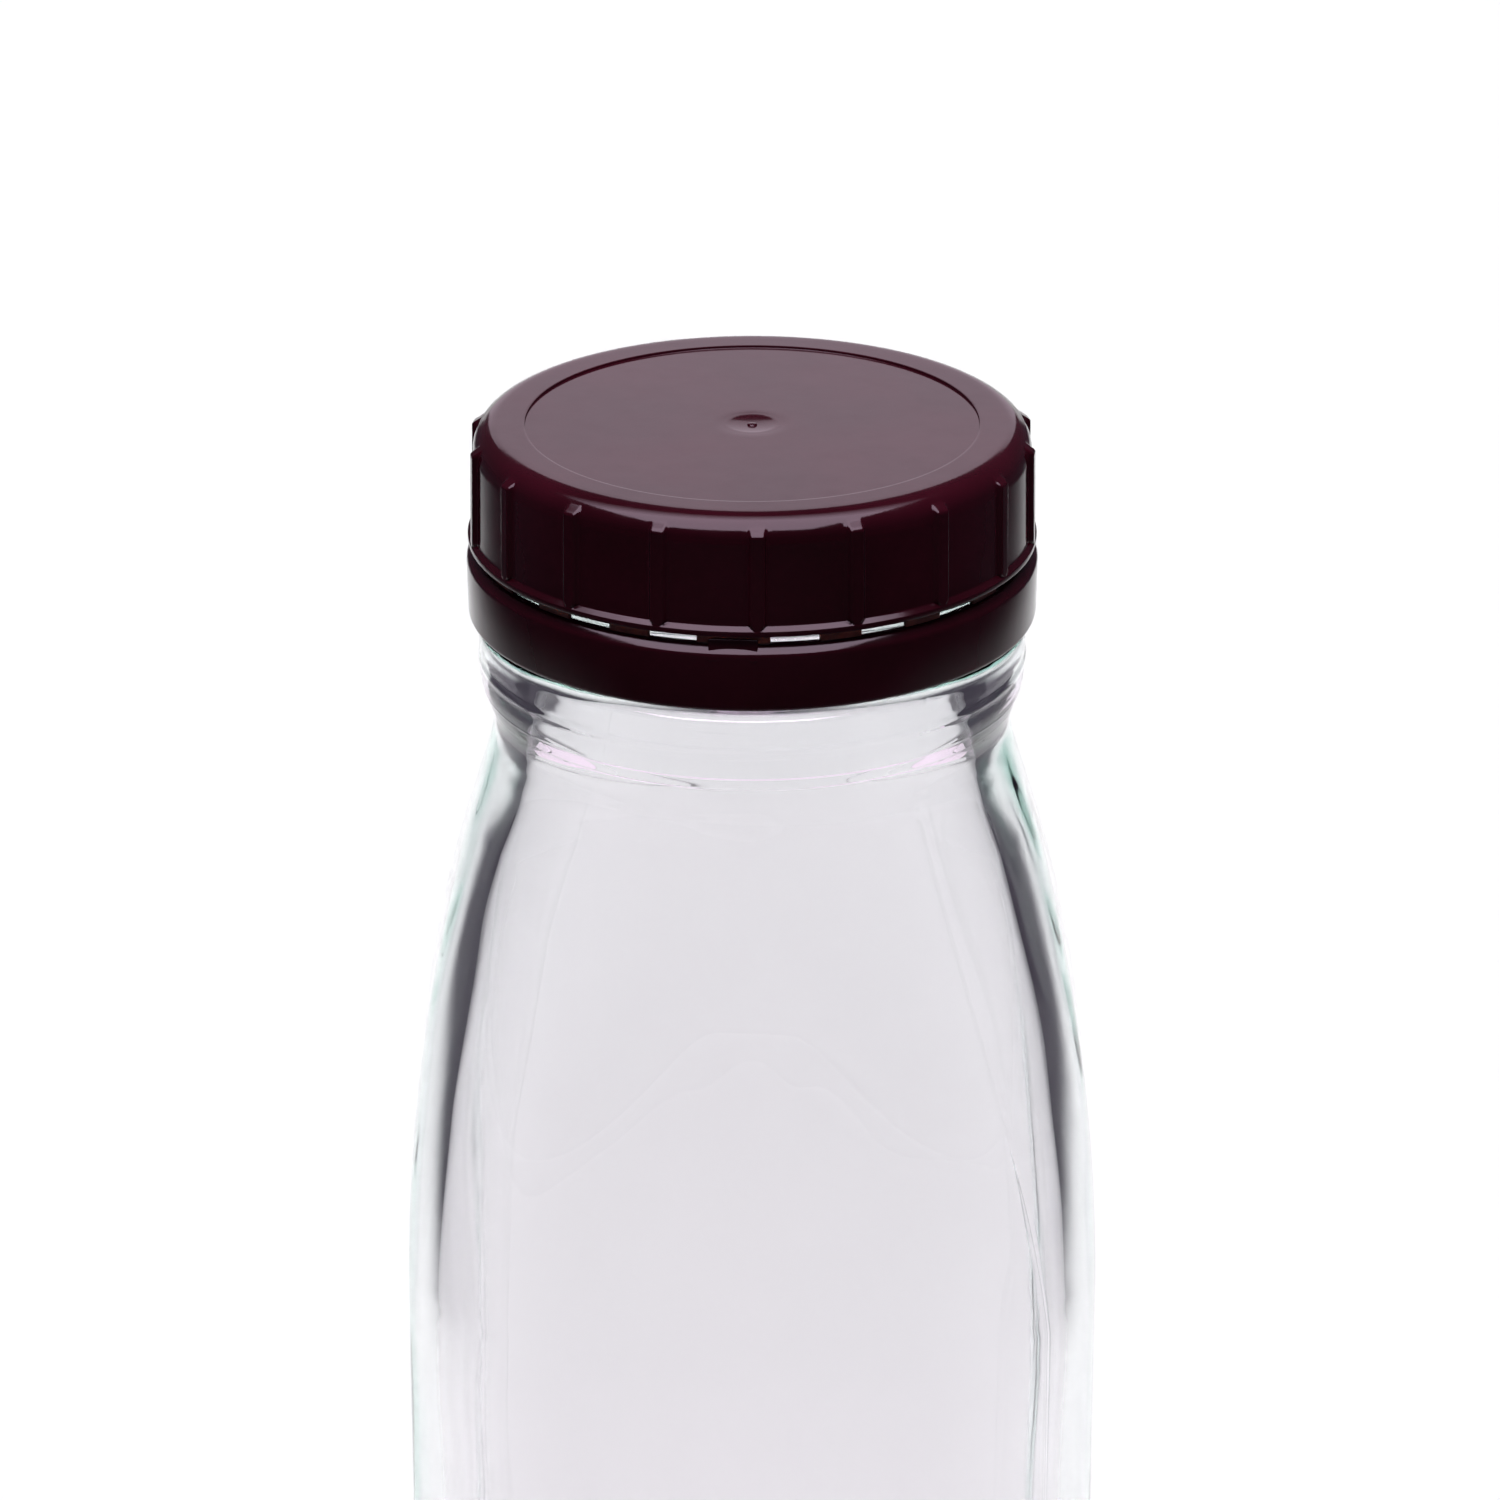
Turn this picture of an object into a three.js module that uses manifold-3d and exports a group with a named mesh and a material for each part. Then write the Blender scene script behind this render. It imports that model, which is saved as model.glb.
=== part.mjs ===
// Square glass milk bottle with a ribbed screw cap, the cap's sealing liner and a tamper-evident
// band that stays on the neck. Millimetres, +Z up, origin at the centre of the base on the plane
// that the bottle stands on, front panel facing -Y. Heights are stacked from the base upwards, and
// the neck finish takes its levels and radii from the closure that screws onto it.

import * as THREE from "three";
import { mergeVertices } from "three/addons/utils/BufferGeometryUtils.js";
import Module from "manifold-3d";

// ---- Glass body -------------------------------------------------------------------------------
const BODY_WIDTH = 64; // across opposite flat panels
const BODY_CORNER_R = 17; // outside radius of the upright corners
const BODY_HEIGHT = 102.7; // base to the top edge of the flat panels
const SHOULDER_HEIGHT = 49.5; // panels to the round neck
const NECK_HEIGHT = 1.2; // plain neck between the shoulder and the flare under the bead
const CORNER_EASE = 0.3; // share of easing in the way from square to round
const NECK_FILLET = 0.8; // softness of the hollow where the shoulder meets the neck
const BODY_WALL = 2.75;
const NECK_WALL = 4.4;
const HEEL_R = 5; // outside radius round the base
const INNER_HEEL_R = 8;
const BASE_THICKNESS = 5;
const BEARING_WIDTH = 5; // flat ring that the bottle stands on
const PUSH_UP = 2.5; // rise of the base inside that ring

// ---- Neck finish ------------------------------------------------------------------------------
const BORE_R = 19.2;
const FINISH_WALL = 3.2; // bore to the root of the thread
const RIM_ROUND = 0.9;
const FLARE_HEIGHT = 5.1; // over which the neck widens into the transfer bead
const TRANSFER_BEAD_HEIGHT = 4.7; // over the flare
const TRANSFER_BEAD_PROUD = 2.35;
const TRANSFER_BEAD_GAP = 0.8; // band to bead
const LOCK_BEAD_PROUD = 1.6; // bead that holds the tamper band down, over the thread root
const LOCK_BEAD_HEIGHT = 3.1;
const LOCK_BEAD_LEVEL = 0.05; // top of the lock bead above the top of the band

// ---- Screw thread, three starts, right-handed --------------------------------------------------
const STARTS = 3;
const LEAD = 9.525; // rise in one turn
const THREAD_DEPTH = 1.35;
const THREAD_ROOT_HALF = 0.85; // half the width of the glass thread at its root and at its crest
const THREAD_CREST_HALF = 0.4;
const THREAD_TOP_DROP = 1.9; // rim to the middle of the thread's upper end
const THREAD_END_CLEARANCE = 2.1; // middle of its lower end to the lock bead
const CAP_THREAD_SWEEP = 110; // degrees
const CAP_THREAD_ROOT_HALF = 0.7;
const CAP_THREAD_CREST_HALF = 0.3;
const CAP_THREAD_EDGE = 1.45; // edge of the skirt to the middle of the cap thread's lower end
const THREAD_MESH_DROP = 1.35; // glass thread to the cap thread that pulls up under it
const THREAD_FADE = 14; // degrees over which a thread grows out of its wall
const THREAD_END_SUNK = 0.1; // share of its depth by which a thread's tip starts under the wall
const ROOT_CLEARANCE = 0.55; // glass crest to the bore of the cap
const CREST_CLEARANCE = 0.4; // cap crest to the root of the glass thread

// ---- Cap, liner and band ----------------------------------------------------------------------
const SKIRT_HEIGHT = 10.9; // over everything, top plane to lower edge
const SKIRT_WALL = 1.1;
const SKIRT_DRAFT = 0.3; // added to the radius on the way down
const CAP_EDGE_R = 2.2;
const PLATE_THICKNESS = 1.5;
const RECESS_R = 20.7; // sunk disc in the top
const RECESS_DEPTH = 0.2;
const DIMPLE_R = 2.3;
const DIMPLE_DEPTH = 0.15;
const GATE_R = 0.45; // moulding gate left standing in the dimple
const GATE_HEIGHT = 0.15;
const FLANGE_PROUD = 0.3;
const FLANGE_HEIGHT = 0.95;
const RIBS = 18;
const RIB_PROUD = 0.45;
const RIB_ROOT_DEPTH = 0.9; // how deep a rib starts inside the skirt
const RIB_ROOT_WIDTH = 2.6;
const RIB_FACE_WIDTH = 0.9;
const RIB_TOP_DROP = 0.85; // top plane to the upper tip of a rib
const RIB_TOP_IN = 0.55; // from the skirt's radius in to the tip, inside the roll
const RIB_SLOPE = 0.6; // height of its sloped upper end
const RIB_AZIMUTH = 1; // degrees, first rib from the front towards +X
const LINER_THICKNESS = 0.8;
const LINER_CLEARANCE = 0.3; // round its edge
const SEAT_GAP = 0.2; // each side of the liner
const BRIDGE_SLIT = 1.1; // slit between the skirt and the band
const BRIDGE_GAP = 0.3; // torn end of a bridge to the skirt
const BRIDGE_WIDTH = 9; // degrees
const PAD_BRIDGE_WIDTH = 15; // degrees, the bridge behind a pad
const BRIDGES_BETWEEN_PADS = 5;
const BRIDGE_WALL = 0.5;
const BRIDGE_AZIMUTH = -3.8; // degrees, pad nearest the front, towards +X
const BAND_HEIGHT = 6;
const BAND_WALL = 1.45;
const BAND_CLEARANCE = 0.7; // lock bead to the inside of the band
const BAND_SHOULDER_DROP = 0.9; // height of its rounded upper edge
const BAND_SHOULDER_IN = 0.85;
const BAND_EDGE_R = 0.4; // lower edge
const CATCH_GRIP = 0.7; // how far the band's catch reaches in under the lock bead
const CATCH_CLEARANCE = 0.5; // catch to the neck, and under the bead
const CATCH_HEIGHT = 1.9;
const PADS = 3; // raised pads that keep the band off the skirt while the cap is put on
const PAD_WIDTH = 4.4;
const PAD_GAP = 0.4; // pad to the skirt
const PAD_SLOPE = 0.4; // how far the top of its sloping face is set in

// ---- How finely round shapes are cut ----------------------------------------------------------
const SIDES = 48;
const THREAD_STEP = 7.5; // degrees
const EMBED = 0.35; // how deep a thread or bridge starts inside the wall it grows from
const MERGE_TOLERANCE = 1e-4;

// ---- Radii that follow from the driving dimensions --------------------------------------------
const BODY_HALF = BODY_WIDTH / 2;
const NECK_R = BORE_R + NECK_WALL;
const THREAD_ROOT_R = BORE_R + FINISH_WALL;
const THREAD_CREST_R = THREAD_ROOT_R + THREAD_DEPTH;
const CAP_BORE_R = THREAD_CREST_R + ROOT_CLEARANCE;
const CAP_THREAD_CREST_R = THREAD_ROOT_R + CREST_CLEARANCE;
const SKIRT_R = CAP_BORE_R + SKIRT_WALL;
const LOCK_BEAD_R = THREAD_ROOT_R + LOCK_BEAD_PROUD;
const BAND_BORE_R = LOCK_BEAD_R + BAND_CLEARANCE;
const BAND_R = BAND_BORE_R + BAND_WALL;
const CATCH_R = LOCK_BEAD_R - CATCH_GRIP;
const UNDERCUT_R = CATCH_R - CATCH_CLEARANCE;

// ---- Levels, from the base up -----------------------------------------------------------------
const NECK_BOTTOM_Z = BODY_HEIGHT + SHOULDER_HEIGHT;
const FLARE_Z = NECK_BOTTOM_Z + NECK_HEIGHT;
const TRANSFER_BEAD_Z = FLARE_Z + FLARE_HEIGHT; // lower edge
const BAND_BOTTOM_Z = TRANSFER_BEAD_Z + TRANSFER_BEAD_HEIGHT + TRANSFER_BEAD_GAP;
const BAND_TOP_Z = BAND_BOTTOM_Z + BAND_HEIGHT;
const CAP_BOTTOM_Z = BAND_TOP_Z + BRIDGE_SLIT;
const CAP_TOP_Z = CAP_BOTTOM_Z + SKIRT_HEIGHT;
const PLATE_Z = CAP_TOP_Z - PLATE_THICKNESS; // underside of the cap's top
const LINER_TOP_Z = PLATE_Z - SEAT_GAP;
const LINER_BOTTOM_Z = LINER_TOP_Z - LINER_THICKNESS;
const RIM_Z = LINER_BOTTOM_Z - SEAT_GAP;
const LOCK_BEAD_TOP_Z = BAND_TOP_Z + LOCK_BEAD_LEVEL;
const LOCK_BEAD_BOTTOM_Z = LOCK_BEAD_TOP_Z - LOCK_BEAD_HEIGHT;
const CATCH_TOP_Z = LOCK_BEAD_BOTTOM_Z - CATCH_CLEARANCE;

const FRONT = -90; // polar angle of the front, degrees

const wasm = await Module();
wasm.setup();

const radians = THREE.MathUtils.degToRad;
const vec2 = (x, y) => new THREE.Vector2(x, y);

/** A closed geometry as a manifold-3d solid. */
function solidOf(geometry) {
  const bare = geometry.clone();
  bare.deleteAttribute("normal");
  bare.deleteAttribute("uv");
  const merged = mergeVertices(bare, MERGE_TOLERANCE);
  return new wasm.Manifold(
    new wasm.Mesh({
      numProp: 3,
      vertProperties: new Float32Array(merged.attributes.position.array),
      triVerts: new Uint32Array(merged.index.array),
    }),
  );
}

/** A manifold-3d solid as a three.js geometry. */
function geometryOf(solid) {
  const mesh = solid.getMesh();
  const geometry = new THREE.BufferGeometry();
  geometry.setAttribute("position", new THREE.BufferAttribute(mesh.vertProperties, 3));
  geometry.setIndex(new THREE.BufferAttribute(mesh.triVerts, 1));
  geometry.computeVertexNormals();
  return geometry;
}

/** The base geometry with every extra one joined to it. */
function joined(base, extras) {
  return geometryOf(extras.reduce((solid, extra) => solid.add(solidOf(extra)), solidOf(base)));
}

/** A profile of (radius, height) points turned about +Z. */
function turned(profile) {
  return new THREE.LatheGeometry(profile, SIDES).rotateX(Math.PI / 2);
}

/** Points along an arc round (x, y), from one angle to another in degrees, both ends included. */
function arc(x, y, radiusX, radiusY, from, to, steps) {
  return Array.from({ length: steps + 1 }, (_, i) => {
    const angle = radians(from + ((to - from) * i) / steps);
    return vec2(x + radiusX * Math.cos(angle), y + radiusY * Math.sin(angle));
  });
}

/** A closed solid through matching loops of points, with a fan of triangles over each end. */
function loft(sections) {
  const count = sections[0].length;
  const middle = (loop) =>
    loop.reduce((sum, p) => sum.add(p), new THREE.Vector3()).divideScalar(count);
  const points = [...sections.flat(), middle(sections[0]), middle(sections.at(-1))];
  const last = (sections.length - 1) * count;
  const faces = [];
  for (let i = 0; i < count; i++) {
    const j = (i + 1) % count;
    for (let row = 0; row < last; row += count) {
      faces.push(row + i, row + j, row + count + j, row + i, row + count + j, row + count + i);
    }
    faces.push(points.length - 2, j, i, points.length - 1, last + i, last + j);
  }
  return new THREE.BufferGeometry().setFromPoints(points).setIndex(faces);
}

/** Distance from the axis to a rounded square of the given half width, at a polar angle. */
function squareRadius(half, corner, angle) {
  const long = Math.max(Math.abs(Math.cos(angle)), Math.abs(Math.sin(angle)));
  const short = Math.min(Math.abs(Math.cos(angle)), Math.abs(Math.sin(angle)));
  const centre = half - corner; // of the corner arc, along both axes
  if ((half * short) / long <= centre) return half / long;
  const along = centre * (long + short);
  return along + Math.sqrt(along * along - 2 * centre * centre + corner * corner);
}

/** One level of the glass: a rounded square loop, a circle when corner equals half. */
function level(half, corner, z) {
  return Array.from({ length: SIDES }, (_, i) => {
    const angle = (2 * Math.PI * i) / SIDES;
    const r = squareRadius(half, corner, angle);
    return new THREE.Vector3(r * Math.cos(angle), r * Math.sin(angle), z);
  });
}

/** Half width of the outside of the shoulder: a shallow arc that runs out into the neck. */
function shoulderHalf(z) {
  const reach = BODY_HALF - NECK_R;
  const bow = (SHOULDER_HEIGHT ** 2 + reach ** 2) / (2 * reach);
  const arcHalf = BODY_HALF - bow + Math.sqrt(bow ** 2 - (z - BODY_HEIGHT) ** 2);
  return (arcHalf + NECK_R + Math.hypot(arcHalf - NECK_R, NECK_FILLET)) / 2;
}

/** Share of the way from square body to round neck, 0 to 1, a little eased at both ends. */
function roundness(z) {
  const share = THREE.MathUtils.clamp((z - BODY_HEIGHT) / SHOULDER_HEIGHT, 0, 1);
  return THREE.MathUtils.lerp(share, THREE.MathUtils.smoothstep(share, 0, 1), CORNER_EASE);
}

/** Corner radius of the outside of the shoulder. */
function shoulderCorner(z) {
  const share = THREE.MathUtils.lerp(BODY_CORNER_R / BODY_HALF, 1, roundness(z));
  return shoulderHalf(z) * share;
}

/** Levels of the outside, from the middle of the base up to the panels' top edge. */
function outsideBody() {
  const bearing = BODY_HALF - HEEL_R;
  const hollow = bearing - BEARING_WIDTH;
  const hollowCorner = BODY_CORNER_R - HEEL_R - BEARING_WIDTH;
  const dome = [0.1, 0.55].map((share) =>
    level(share * hollow, share * hollowCorner, PUSH_UP * (1 - share ** 2)),
  );
  const heel = arc(bearing, HEEL_R, HEEL_R, HEEL_R, -90, 0, 4).map((p) =>
    level(p.x, BODY_CORNER_R - BODY_HALF + p.x, p.y),
  );
  const panelTop = level(BODY_HALF, BODY_CORNER_R, BODY_HEIGHT);
  return [...dome, level(hollow, hollowCorner, 0), ...heel, panelTop];
}

/** Heights at which the shoulder is cut, above the panels. */
const shoulderLevels = (steps) =>
  Array.from({ length: steps }, (_, i) => BODY_HEIGHT + (SHOULDER_HEIGHT * (i + 1)) / steps);

/** The round neck finish, outside and over the rim, as (radius, height) points going up. */
function finishProfile() {
  const { lerp, smoothstep } = THREE.MathUtils;
  const beadR = UNDERCUT_R + TRANSFER_BEAD_PROUD;
  const flare = [0, 0.25, 0.5, 0.75].map((share) =>
    vec2(lerp(NECK_R, beadR, smoothstep(share, 0, 1)), lerp(FLARE_Z, TRANSFER_BEAD_Z, share)),
  );
  const roundZ = TRANSFER_BEAD_Z + TRANSFER_BEAD_HEIGHT - TRANSFER_BEAD_PROUD;
  const lockFlat = (LOCK_BEAD_HEIGHT - LOCK_BEAD_PROUD) / 2;
  return [
    ...flare,
    vec2(beadR, TRANSFER_BEAD_Z),
    ...arc(UNDERCUT_R, roundZ, TRANSFER_BEAD_PROUD, TRANSFER_BEAD_PROUD, 0, 90, 4),
    vec2(UNDERCUT_R, LOCK_BEAD_BOTTOM_Z - CATCH_CLEARANCE / 2),
    vec2(LOCK_BEAD_R, LOCK_BEAD_BOTTOM_Z + lockFlat / 2),
    vec2(LOCK_BEAD_R, LOCK_BEAD_BOTTOM_Z + 1.5 * lockFlat),
    vec2(THREAD_ROOT_R, LOCK_BEAD_TOP_Z),
    ...arc(THREAD_ROOT_R - RIM_ROUND, RIM_Z - RIM_ROUND, RIM_ROUND, RIM_ROUND, 0, 90, 2),
    ...arc(BORE_R + RIM_ROUND, RIM_Z - RIM_ROUND, RIM_ROUND, RIM_ROUND, 90, 180, 2),
  ];
}

/** Levels of the inside, from the bore down to the middle of the floor. */
function inside() {
  const shoulder = shoulderLevels(6).reverse().map((z) => {
    const wall = THREE.MathUtils.lerp(BODY_WALL, NECK_WALL, roundness(z));
    return level(shoulderHalf(z) - wall, shoulderCorner(z) - wall, z);
  });
  const half = BODY_HALF - BODY_WALL;
  const corner = BODY_CORNER_R - BODY_WALL;
  const heelZ = BASE_THICKNESS + INNER_HEEL_R;
  const floorHalf = half - INNER_HEEL_R;
  const floorCorner = corner - INNER_HEEL_R;
  const heel = arc(floorHalf, heelZ, INNER_HEEL_R, INNER_HEEL_R, 0, -90, 4).map((p) =>
    level(p.x, corner - half + p.x, p.y),
  );
  const floor = [0.55, 0.1].map((share) =>
    level(share * floorHalf, share * floorCorner, BASE_THICKNESS + PUSH_UP * (1 - share ** 2)),
  );
  return [...shoulder, level(half, corner, BODY_HEIGHT), ...heel, ...floor];
}

/** One start of a thread: a ridge of trapezium section on a helix that fades out at both ends. */
function helixRidge({ rootR, crestR, rootHalf, crestHalf, fromAngle, fromZ, sweep }) {
  const side = Math.sign(crestR - rootR);
  const steps = Math.ceil(sweep / THREAD_STEP);
  const sections = Array.from({ length: steps + 1 }, (_, i) => {
    const turn = (sweep * i) / steps;
    const grown = Math.min(1, Math.min(turn, sweep - turn) / THREAD_FADE);
    const fade = THREE.MathUtils.lerp(-THREAD_END_SUNK, 1, grown);
    const angle = radians(fromAngle + turn);
    const z = fromZ + (LEAD * turn) / 360;
    const crest = rootR + (crestR - rootR) * fade;
    const tip = THREE.MathUtils.lerp(rootHalf, crestHalf, grown);
    const corners = [
      [rootR - side * EMBED, -rootHalf],
      [crest, -tip],
      [crest, tip],
      [rootR - side * EMBED, rootHalf],
    ];
    return corners.map(([r, dz]) => new THREE.Vector3(r * Math.cos(angle), r * Math.sin(angle), z + dz));
  });
  return loft(side > 0 ? sections.reverse() : sections);
}

/** The glass thread's lower end and sweep; the cap's thread runs on the same helix. */
const glassThread = (() => {
  const topZ = RIM_Z - THREAD_TOP_DROP;
  const bottomZ = LOCK_BEAD_TOP_Z + THREAD_END_CLEARANCE;
  return { fromZ: bottomZ, sweep: (360 * (topZ - bottomZ)) / LEAD };
})();

/** The bottle: one closed glass wall, with the thread's starts standing on the finish. */
function glassBottle() {
  const shoulder = shoulderLevels(9).map((z) => level(shoulderHalf(z), shoulderCorner(z), z));
  const finish = finishProfile().map((p) => level(p.x, p.x, p.y));
  const wall = loft([...outsideBody(), ...shoulder, ...finish, ...inside()]);
  const threads = Array.from({ length: STARTS }, (_, start) =>
    helixRidge({
      rootR: THREAD_ROOT_R, crestR: THREAD_CREST_R,
      rootHalf: THREAD_ROOT_HALF, crestHalf: THREAD_CREST_HALF,
      fromAngle: (360 * start) / STARTS, ...glassThread,
    }),
  );
  return joined(wall, threads);
}

/** Outside radius of the cap's skirt at a height. */
const skirtRadius = (z) => SKIRT_R + (SKIRT_DRAFT * (CAP_TOP_Z - z)) / SKIRT_HEIGHT;

/** The cap's wall as one profile, from the axis under the plate round to the axis on top. */
function capProfile() {
  const edge = SKIRT_R - CAP_EDGE_R;
  const recessZ = CAP_TOP_Z - RECESS_DEPTH;
  const flangeR = skirtRadius(CAP_BOTTOM_Z) + FLANGE_PROUD;
  const dimpleZ = (r) => recessZ - DIMPLE_DEPTH * (1 - (r / DIMPLE_R) ** 2);
  const gateTop = dimpleZ(0) + GATE_HEIGHT;
  return [
    vec2(0, PLATE_Z),
    vec2(CAP_BORE_R, PLATE_Z),
    vec2(CAP_BORE_R, CAP_BOTTOM_Z),
    vec2(flangeR, CAP_BOTTOM_Z),
    vec2(flangeR, CAP_BOTTOM_Z + FLANGE_HEIGHT / 2),
    vec2(skirtRadius(CAP_BOTTOM_Z + FLANGE_HEIGHT), CAP_BOTTOM_Z + FLANGE_HEIGHT),
    ...arc(edge, CAP_TOP_Z - CAP_EDGE_R, CAP_EDGE_R, CAP_EDGE_R, 0, 90, 4),
    vec2(RECESS_R, CAP_TOP_Z),
    vec2(RECESS_R, recessZ),
    vec2(DIMPLE_R, recessZ),
    vec2(DIMPLE_R / 2, dimpleZ(DIMPLE_R / 2)),
    vec2(GATE_R, dimpleZ(GATE_R)),
    vec2(GATE_R, gateTop),
    vec2(0, gateTop),
  ];
}

/** A grip rib at the front, its section a trapezium that slopes away at the upper end. */
function rib(azimuth) {
  const topZ = CAP_TOP_Z - RIB_TOP_DROP;
  const flangeTopZ = CAP_BOTTOM_Z + FLANGE_HEIGHT;
  const stations = [
    [flangeTopZ - FLANGE_HEIGHT / 3, FLANGE_PROUD / 2],
    [flangeTopZ + RIB_PROUD, RIB_PROUD],
    [topZ - RIB_SLOPE, RIB_PROUD],
    [topZ, -RIB_TOP_IN],
  ];
  const sections = stations.map(([z, proud]) => {
    const root = skirtRadius(z) - RIB_ROOT_DEPTH;
    const face = skirtRadius(z) + proud;
    return [
      new THREE.Vector3(root, -RIB_ROOT_WIDTH / 2, z),
      new THREE.Vector3(face, -RIB_FACE_WIDTH / 2, z),
      new THREE.Vector3(face, RIB_FACE_WIDTH / 2, z),
      new THREE.Vector3(root, RIB_ROOT_WIDTH / 2, z),
    ];
  });
  return loft(sections).rotateZ(radians(FRONT + azimuth));
}

/** The screw cap: plate, skirt, lower flange, ribs outside and thread inside. */
function capShell() {
  const ribs = Array.from({ length: RIBS }, (_, i) => rib(RIB_AZIMUTH + (360 * i) / RIBS));
  const fromZ = CAP_BOTTOM_Z + CAP_THREAD_EDGE;
  const onHelix = (360 * (fromZ + THREAD_MESH_DROP - glassThread.fromZ)) / LEAD;
  const threads = Array.from({ length: STARTS }, (_, start) =>
    helixRidge({
      rootR: CAP_BORE_R, crestR: CAP_THREAD_CREST_R,
      rootHalf: CAP_THREAD_ROOT_HALF, crestHalf: CAP_THREAD_CREST_HALF,
      fromAngle: onHelix + (360 * start) / STARTS, fromZ, sweep: CAP_THREAD_SWEEP,
    }),
  );
  return joined(turned(capProfile()), [...ribs, ...threads]);
}

/** The foam disc that seals the rim. */
function capLiner() {
  const r = CAP_BORE_R - LINER_CLEARANCE;
  return turned([
    vec2(0, LINER_BOTTOM_Z), vec2(r, LINER_BOTTOM_Z), vec2(r, LINER_TOP_Z), vec2(0, LINER_TOP_Z),
  ]);
}

/** The band's ring as a closed profile, with the catch that grips under the lock bead. */
function bandProfile() {
  const bottomArc = arc(
    BAND_R - BAND_EDGE_R, BAND_BOTTOM_Z + BAND_EDGE_R, BAND_EDGE_R, BAND_EDGE_R, -90, 0, 2,
  );
  const shoulder = arc(
    BAND_R - BAND_SHOULDER_IN, BAND_TOP_Z - BAND_SHOULDER_DROP,
    BAND_SHOULDER_IN, BAND_SHOULDER_DROP, 0, 90, 3,
  );
  const catchBottom = CATCH_TOP_Z - CATCH_HEIGHT;
  const profile = [
    ...bottomArc,
    ...shoulder,
    vec2(BAND_BORE_R, BAND_TOP_Z),
    vec2(BAND_BORE_R, CATCH_TOP_Z),
    vec2(CATCH_R, CATCH_TOP_Z),
    vec2(CATCH_R, CATCH_TOP_Z - CATCH_HEIGHT / 3),
    vec2(BAND_BORE_R, catchBottom),
    vec2(BAND_BORE_R, BAND_BOTTOM_Z),
  ];
  return [...profile, profile[0].clone()];
}

/** The torn root of one bridge on the band's upper edge. */
function bridge(azimuth, width) {
  const stations = [BAND_TOP_Z - EMBED, CAP_BOTTOM_Z - BRIDGE_GAP];
  const half = width / 2;
  const outerR = BAND_BORE_R + BRIDGE_WALL;
  const sections = stations.map((z) => {
    const at = (r, turn) => {
      const angle = radians(FRONT + azimuth + turn);
      return new THREE.Vector3(r * Math.cos(angle), r * Math.sin(angle), z);
    };
    return [
      at(BAND_BORE_R + BRIDGE_WALL / 4, -half), at(outerR, -half),
      at(outerR, half), at(BAND_BORE_R + BRIDGE_WALL / 4, half),
    ];
  });
  return loft(sections);
}

/** A pad with a sloping face that stands on the band's rounded upper edge. */
function pad(azimuth) {
  const footZ = BAND_TOP_Z - BAND_SHOULDER_DROP - EMBED;
  const topZ = CAP_BOTTOM_Z - PAD_GAP;
  const outline = new THREE.Shape([
    vec2(BAND_BORE_R + BRIDGE_WALL, footZ),
    vec2(BAND_R - EMBED / 2, footZ),
    vec2(BAND_R - EMBED / 6, BAND_TOP_Z - BAND_SHOULDER_DROP),
    vec2(BAND_R - PAD_SLOPE, topZ),
    vec2(BAND_BORE_R + BRIDGE_WALL, topZ),
  ]);
  return new THREE.ExtrudeGeometry(outline, { depth: PAD_WIDTH, bevelEnabled: false })
    .translate(0, 0, -PAD_WIDTH / 2)
    .rotateX(Math.PI / 2)
    .rotateZ(radians(FRONT + azimuth));
}

/** The tamper-evident band with its bridge roots and pads. */
function tamperBand() {
  const sector = 360 / PADS;
  const thin = BRIDGES_BETWEEN_PADS * BRIDGE_WIDTH;
  const slit = (sector - PAD_BRIDGE_WIDTH - thin) / (BRIDGES_BETWEEN_PADS + 1);
  const raised = Array.from({ length: PADS }, (_, i) => {
    const azimuth = BRIDGE_AZIMUTH + sector * i;
    const first = azimuth + (PAD_BRIDGE_WIDTH + BRIDGE_WIDTH) / 2 + slit;
    const between = Array.from({ length: BRIDGES_BETWEEN_PADS }, (_, k) =>
      bridge(first + k * (BRIDGE_WIDTH + slit), BRIDGE_WIDTH),
    );
    return [pad(azimuth), bridge(azimuth, PAD_BRIDGE_WIDTH), ...between];
  });
  return joined(turned(bandProfile()), raised.flat());
}

const glass = new THREE.MeshStandardMaterial({
  color: "#e4ece8", roughness: 0.03, metalness: 0, transparent: true, opacity: 0.35,
});
const maroonPlastic = new THREE.MeshStandardMaterial({
  color: "#3a141c", roughness: 0.28, metalness: 0,
});
const whiteFoam = new THREE.MeshStandardMaterial({
  color: "#eceae4", roughness: 0.85, metalness: 0,
});

/** A named mesh in its own material. */
function piece(name, geometry, material) {
  const mesh = new THREE.Mesh(geometry, material);
  mesh.name = name;
  return mesh;
}

const bottle = new THREE.Group();
bottle.add(piece("glass_bottle", glassBottle(), glass));

const closure = new THREE.Group();
closure.add(piece("cap_shell", capShell(), maroonPlastic));
closure.add(piece("cap_liner", capLiner(), whiteFoam));
closure.add(piece("tamper_band", tamperBand(), maroonPlastic.clone()));
bottle.add(closure);

export default bottle;
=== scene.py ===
"""Looks of a square glass milk bottle with a ribbed screw cap, a foam liner and a tamper band.

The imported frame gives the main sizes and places. New pieces are modelled in millimetres, in the
frame's own axes, and are scaled to metres as they are finished.
"""

import logging
import math
from collections.abc import Callable, Iterable, Sequence
from dataclasses import dataclass, field
from enum import Enum

import bmesh
import bpy
from mathutils import Matrix, Vector, noise


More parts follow.
